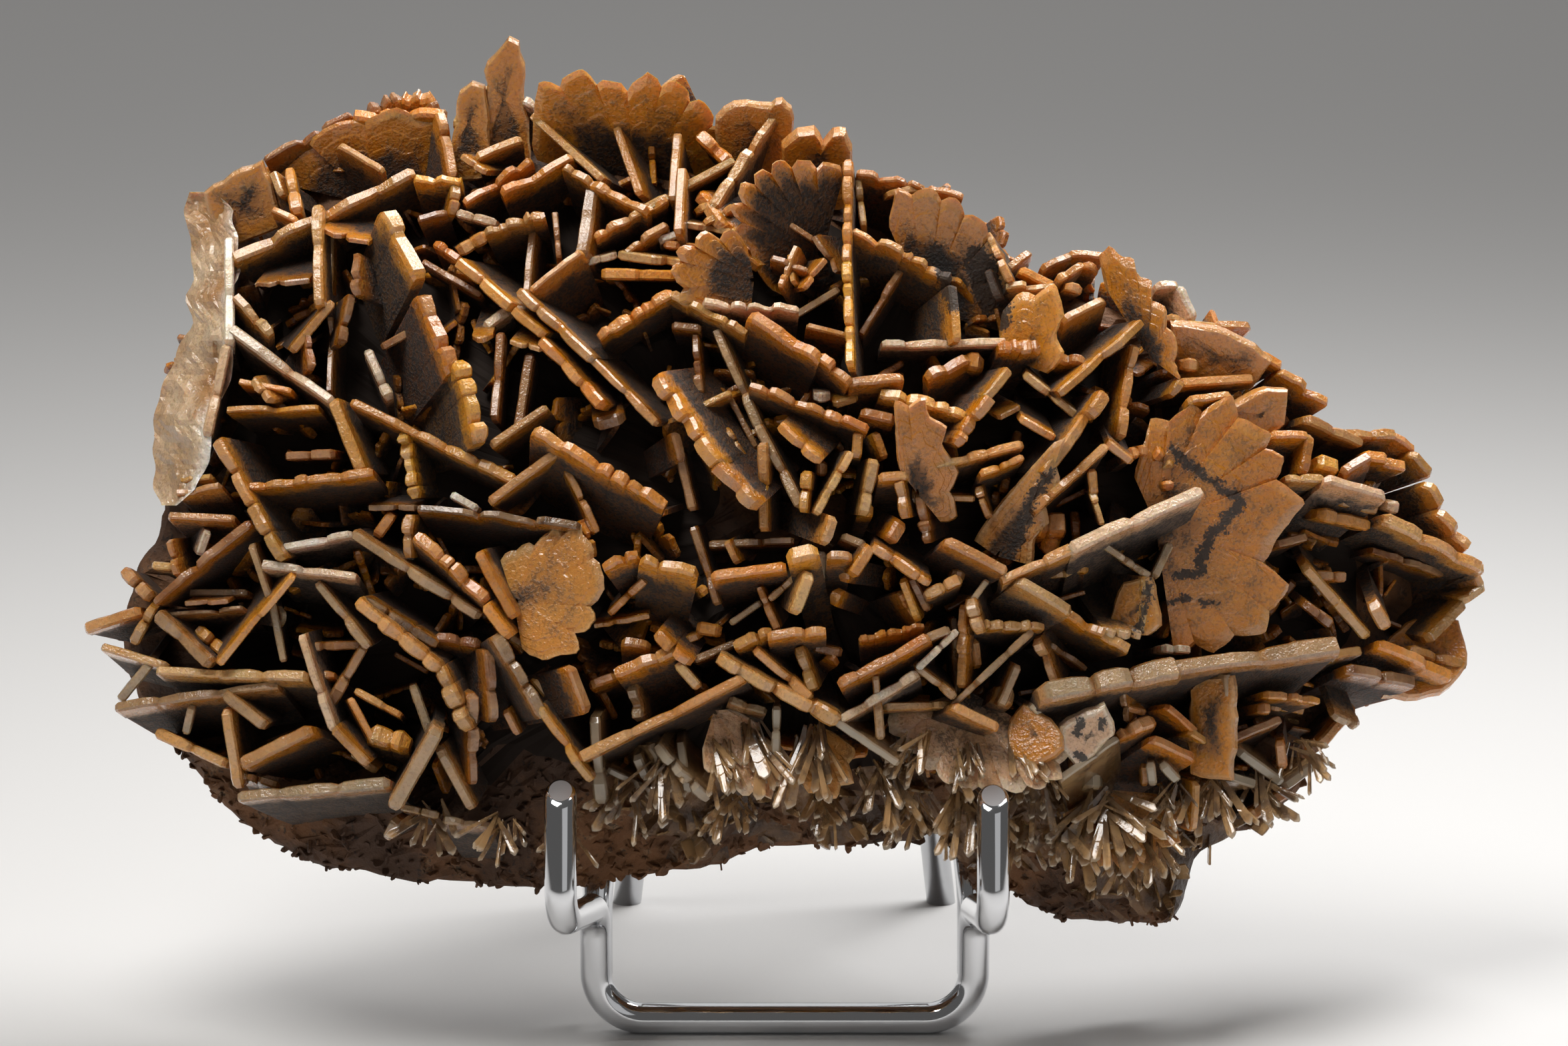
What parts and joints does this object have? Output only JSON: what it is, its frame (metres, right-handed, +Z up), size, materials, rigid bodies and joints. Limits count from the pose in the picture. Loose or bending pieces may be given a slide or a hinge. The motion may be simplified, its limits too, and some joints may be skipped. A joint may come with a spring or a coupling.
{
  "type": "barite specimen",
  "caption": "Fan of bladed orange-brown barite crystals on dark matrix, leaning on a small easel of bent chrome wire that stands flat on a shelf",
  "frame": {"origin": "on the floor, in the middle of the object's box", "axes": "+X along the specimen's width to its viewer's right, +Y from its crystal face to its back, +Z up"},
  "size_m": [0.1754, 0.0836, 0.1234],
  "materials": {
    "barite": "translucent orange-brown crystal, glassy to pearly, with dark dusted roots",
    "chrome": "polished, bent wire"
  },
  "bodies": {
    "root": {"barite_specimen": "barite", "front_wire": "chrome", "backrest_wire": "chrome", "strut_wire": "chrome"}
  },
  "joints": []
}
